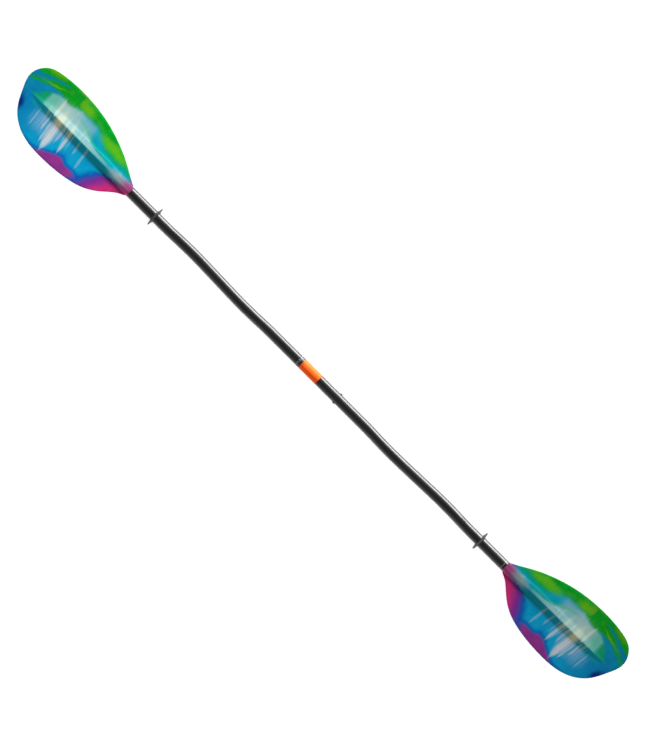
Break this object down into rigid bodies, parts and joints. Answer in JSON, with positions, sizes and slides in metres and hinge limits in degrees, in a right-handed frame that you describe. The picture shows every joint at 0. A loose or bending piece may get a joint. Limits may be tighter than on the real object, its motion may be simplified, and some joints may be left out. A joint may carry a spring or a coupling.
{
  "type": "kayak paddle",
  "caption": "Take-apart double-bladed kayak paddle with a bent shaft, an adjustable feather joint at its centre and sliding drip rings.",
  "frame": {"origin": "on the shaft's axis at the middle of the paddle, inside the centre collar", "axes": "+X along the shaft towards the half with the buttons; +Z out of the blades' power faces, where the spines are; +Y towards the blades' longer edges"},
  "size_m": [2.1996, 0.2012, 0.0633],
  "materials": {
    "blade": "swirled dye under a clear gloss resin coat",
    "spigot": "cured glass-fibre laminate",
    "shaft": "gloss black carbon laminate",
    "neck_band": "thin pale trim band",
    "foam_plug": "closed-cell foam",
    "ferrule": "ground glass-fibre laminate",
    "scale_ring": "black with white angle marks",
    "collar": "gloss orange",
    "o_ring": "black nitrile",
    "spring": "stainless spring strip",
    "end_plug": "moulded black plastic",
    "nylon": "natural nylon",
    "nut": "turned, clear anodised",
    "button": "moulded red-orange plastic",
    "drip_ring": "soft black rubber"
  },
  "bodies": {
    "left_half": {"left_blade": "blade", "left_blade_spigot": "spigot", "left_shaft_tube": "shaft", "left_shaft_plug": "foam_plug", "left_ferrule_sleeve": "ferrule", "feather_scale_ring": "scale_ring"},
    "coupler": {"male_ferrule": "ferrule", "center_collar": "collar", "ferrule_o_ring": "o_ring", "latch_spring": "spring", "ferrule_end_plug": "end_plug", "feather_washer": "nylon", "feather_retaining_nut": "nut"},
    "right_half": {"right_shaft_tube": "shaft", "right_ferrule_sleeve": "ferrule", "right_shaft_plug": "foam_plug", "right_neck_band": "neck_band", "right_blade_spigot": "spigot", "right_blade": "blade"},
    "upper_button_body": {"upper_button": "button"},
    "lower_button_body": {"lower_button": "button"},
    "left_drip_ring_body": {"left_drip_ring": "drip_ring"},
    "right_drip_ring_body": {"right_drip_ring": "drip_ring"}
  },
  "joints": [
    {"name": "feather_turn", "type": "hinge", "parent": "left_half", "child": "coupler", "pos_m": [-0.06, 0, 0], "axis": [1, 0, 0], "range_deg": [-60, 60]},
    {"name": "take_apart", "type": "slide", "parent": "coupler", "child": "right_half", "axis": [1, 0, 0], "range_m": [0, 0.12], "deforming": ["latch_spring"]},
    {"name": "upper_button_press", "type": "slide", "parent": "right_half", "child": "upper_button_body", "axis": [0, -1, 0], "range_m": [0, 0.0013], "stiffness_N_per_m": 2000, "springref_m": -0.001, "deforming": ["latch_spring"]},
    {"name": "lower_button_press", "type": "slide", "parent": "right_half", "child": "lower_button_body", "axis": [0, 1, 0], "range_m": [0, 0.0013], "stiffness_N_per_m": 2000, "springref_m": -0.001, "deforming": ["latch_spring"]},
    {"name": "left_drip_ring_slide", "type": "slide", "parent": "left_half", "child": "left_drip_ring_body", "axis": [-1, 0, 0], "range_m": [-0.015, 0.07]},
    {"name": "right_drip_ring_slide", "type": "slide", "parent": "right_half", "child": "right_drip_ring_body", "axis": [1, 0, 0], "range_m": [-0.015, 0.07]}
  ]
}
